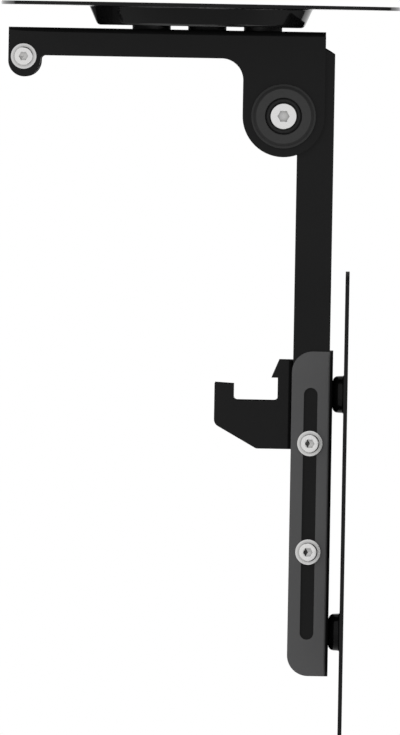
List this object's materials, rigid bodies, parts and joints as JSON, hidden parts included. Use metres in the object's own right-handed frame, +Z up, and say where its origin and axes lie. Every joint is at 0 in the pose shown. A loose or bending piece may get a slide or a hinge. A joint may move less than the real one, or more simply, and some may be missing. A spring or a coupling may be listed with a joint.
{
  "type": "tv ceiling mount",
  "caption": "Folding ceiling mount for a flat screen: pressed round ceiling plate, swivelling arm, hinged mast with catch hook, height slide and drilled screen plate.",
  "frame": {"origin": "centre of the ceiling plate's slot pattern, on its top face, which lies on the ceiling", "axes": "+Z up to the ceiling, +X the way the hanging screen faces, +Y to the left as it faces +X"},
  "size_m": [0.2, 0.22, 0.3738],
  "materials": {
    "black_coat": "black powder coat, fine texture",
    "grey_coat": "dark grey powder coat, satin",
    "zinc_steel": "bright zinc plating",
    "black_nylon": "plain nylon",
    "cap_plastic": "moulded, fine grain"
  },
  "bodies": {
    "ceiling": {"ceiling_plate": "black_coat"},
    "bracket": {"swing_bracket": "black_coat", "swivel_spacer_center": "black_nylon", "swivel_spacer_rear": "black_nylon", "swivel_spacer_front": "black_nylon", "swivel_bolt": "zinc_steel", "swivel_washer": "zinc_steel", "swivel_nut": "zinc_steel", "lock_bolts": "zinc_steel", "lock_washers": "zinc_steel", "lock_nuts": "zinc_steel", "pivot_cap_right": "cap_plastic", "pivot_cap_left": "cap_plastic", "pivot_bolt": "zinc_steel", "pivot_nut": "zinc_steel", "friction_washer_right": "black_nylon", "friction_washer_left": "black_nylon", "catch_bolt": "zinc_steel", "catch_washers": "zinc_steel", "catch_nut": "zinc_steel"},
    "mast": {"mast_plate_right": "black_coat", "mast_plate_left": "black_coat", "mast_web": "black_coat", "pivot_tube": "zinc_steel", "hook": "black_coat", "clamp_bolts": "zinc_steel", "clamp_washers": "zinc_steel", "clamp_nuts": "zinc_steel", "clamp_sleeves": "zinc_steel"},
    "screen_carriage": {"screen_channel": "grey_coat", "screen_plate": "black_coat", "plate_screws": "zinc_steel", "plate_nuts": "zinc_steel"}
  },
  "joints": [
    {"name": "swivel", "type": "hinge", "parent": "ceiling", "child": "bracket", "pos_m": [0.0033, 0, -0.0131], "axis": [0, 0, 1], "range_deg": [-30, 30]},
    {"name": "fold", "type": "hinge", "parent": "bracket", "child": "mast", "pos_m": [0.04235, 0, -0.0554], "axis": [0, 1, 0], "range_deg": [0, 90]},
    {"name": "height_slide", "type": "slide", "parent": "mast", "child": "screen_carriage", "axis": [0, 0, 1], "range_m": [-0.024, 0.04]}
  ]
}
